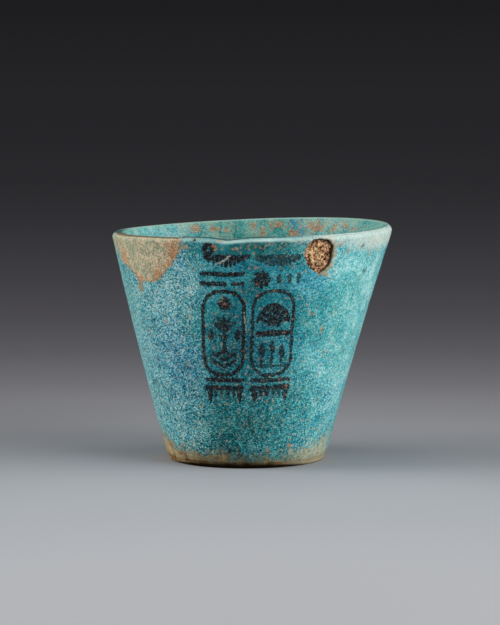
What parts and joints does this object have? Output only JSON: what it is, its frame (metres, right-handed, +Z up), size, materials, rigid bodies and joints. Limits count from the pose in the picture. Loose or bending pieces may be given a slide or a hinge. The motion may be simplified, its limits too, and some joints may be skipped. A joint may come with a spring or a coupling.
{
  "type": "cup",
  "caption": "Small thick-walled tapering cup of glazed quartz paste with a flat foot, a filled chip in the rim and a plugged round scar beside it.",
  "frame": {"origin": "middle of the foot's flat underside", "axes": "+Z up out of the cup's mouth, the painted side faces -Y, the rim's filled chip is towards -X and its round scar towards +X"},
  "size_m": [0.0892, 0.089, 0.0753],
  "materials": {
    "core": "matt, granular, tan",
    "glaze": "weathered turquoise glaze, half gloss, finely speckled",
    "fill": "matt toned filling paste",
    "crust": "rough, grainy, dull"
  },
  "bodies": {
    "root": {"faience_core": "core", "glaze_coat": "glaze", "rim_fill": "fill", "scar_crust": "crust"}
  },
  "joints": []
}
